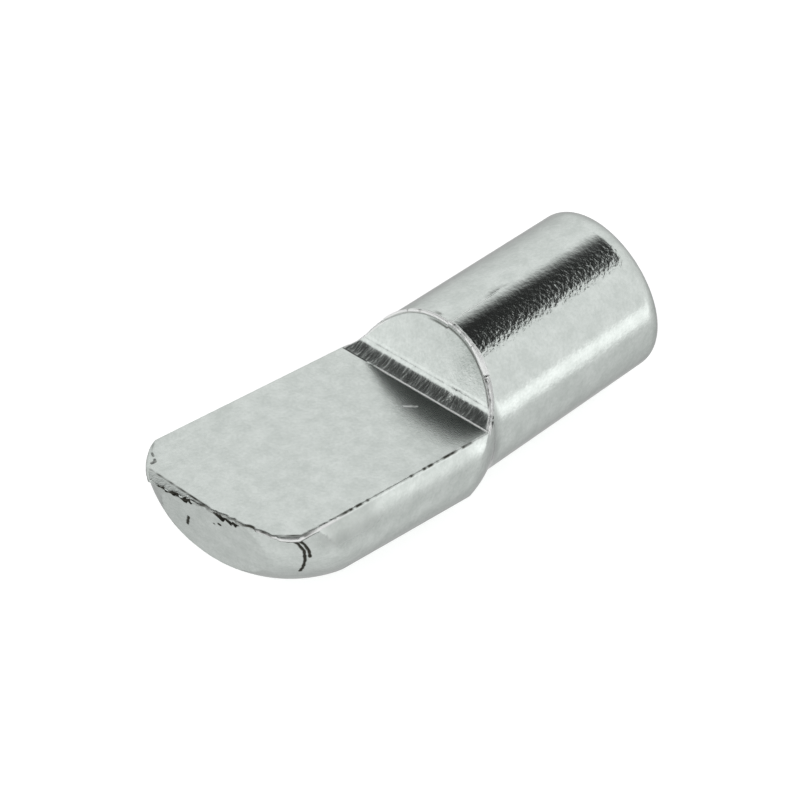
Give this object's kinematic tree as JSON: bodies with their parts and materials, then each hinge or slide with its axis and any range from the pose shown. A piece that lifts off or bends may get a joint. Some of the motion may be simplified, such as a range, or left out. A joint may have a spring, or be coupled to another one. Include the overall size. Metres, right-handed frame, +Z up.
{
  "type": "shelf support pin",
  "caption": "Spoon-shaped shelf support pin: a round steel peg for a 5 mm hole, pressed at the front into a flat seat with bulged sides, nickel plated.",
  "frame": {"origin": "on the peg's axis, at the shoulder where the bulge starts and stops the peg in its hole", "axes": "+X along the peg's axis towards the spoon's tip, +Z up, out of the seat"},
  "size_m": [0.0169, 0.0058, 0.0051],
  "materials": {
    "nickel_plate": "bright nickel plate over cold-formed steel wire, smooth on the peg, satin on the seat, torn at the sheared edges"
  },
  "bodies": {
    "root": {"shelf_pin": "nickel_plate"}
  },
  "joints": []
}
